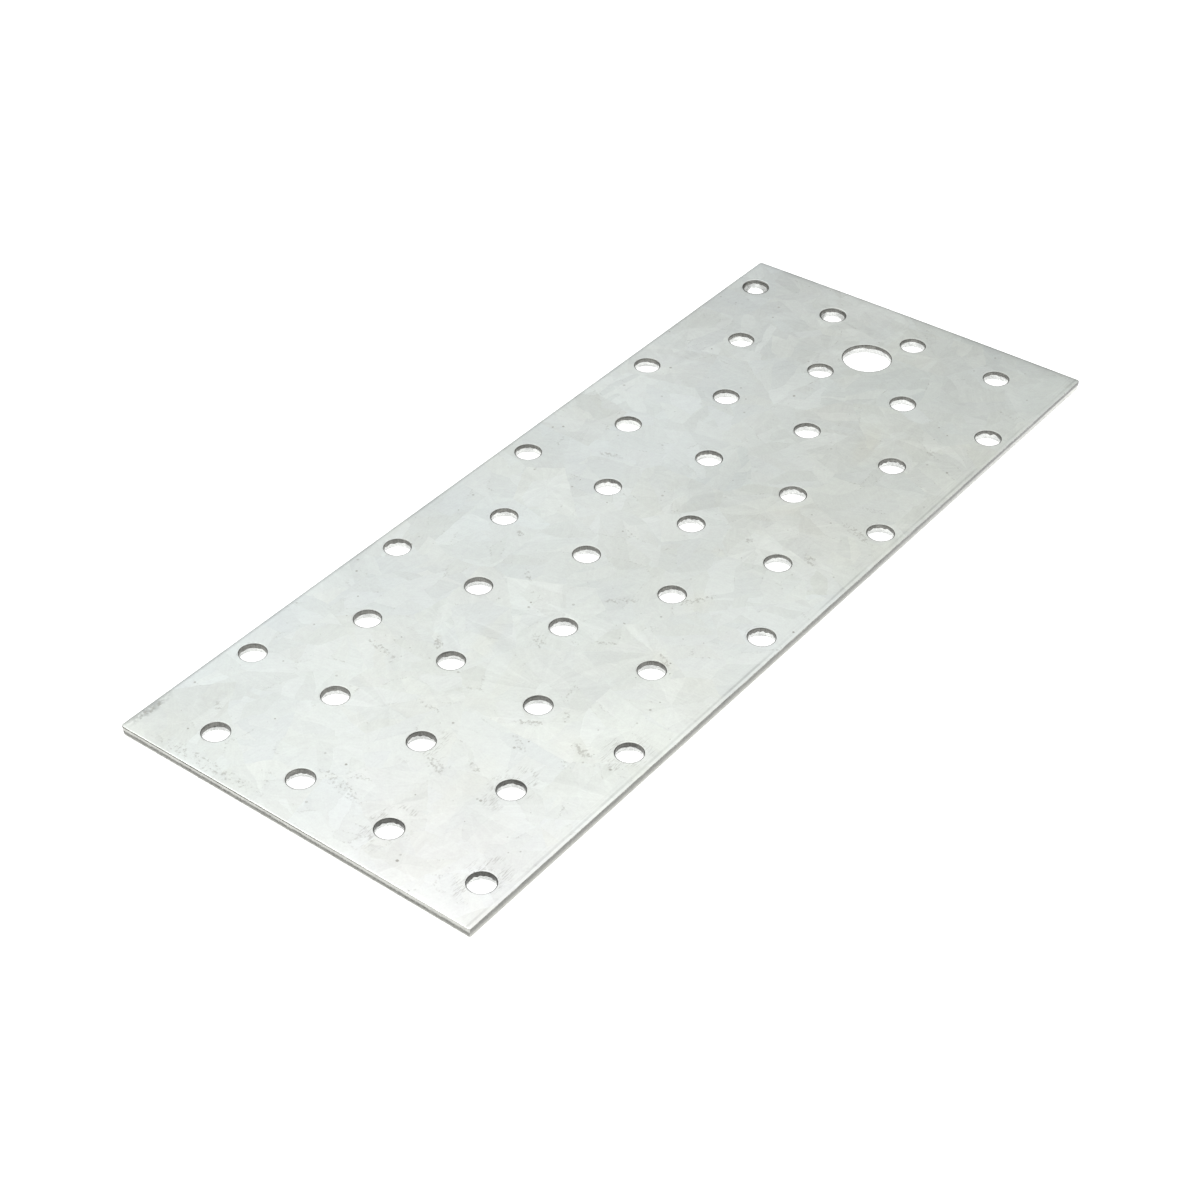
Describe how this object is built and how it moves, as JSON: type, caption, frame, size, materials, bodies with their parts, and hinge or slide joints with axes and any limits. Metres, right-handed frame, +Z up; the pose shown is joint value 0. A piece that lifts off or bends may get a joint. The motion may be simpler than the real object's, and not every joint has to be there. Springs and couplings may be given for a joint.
{
  "type": "perforated nail plate",
  "caption": "Flat galvanised steel connector plate with staggered rows of nail holes and a larger bolt hole near an end, nailed across a timber joint to tie or splice it.",
  "frame": {"origin": "middle of the underside, the face that lies on the timber", "axes": "+X along the length towards the end with the bolt hole, +Y across the width, +Z up through the thickness"},
  "size_m": [0.199, 0.08, 0.002],
  "materials": {
    "galvanised_steel": "hot-dip galvanised sheet: satin light grey zinc with a faint angular spangle, darker sheared and punched edges"
  },
  "bodies": {
    "root": {"nail_plate": "galvanised_steel"}
  },
  "joints": []
}
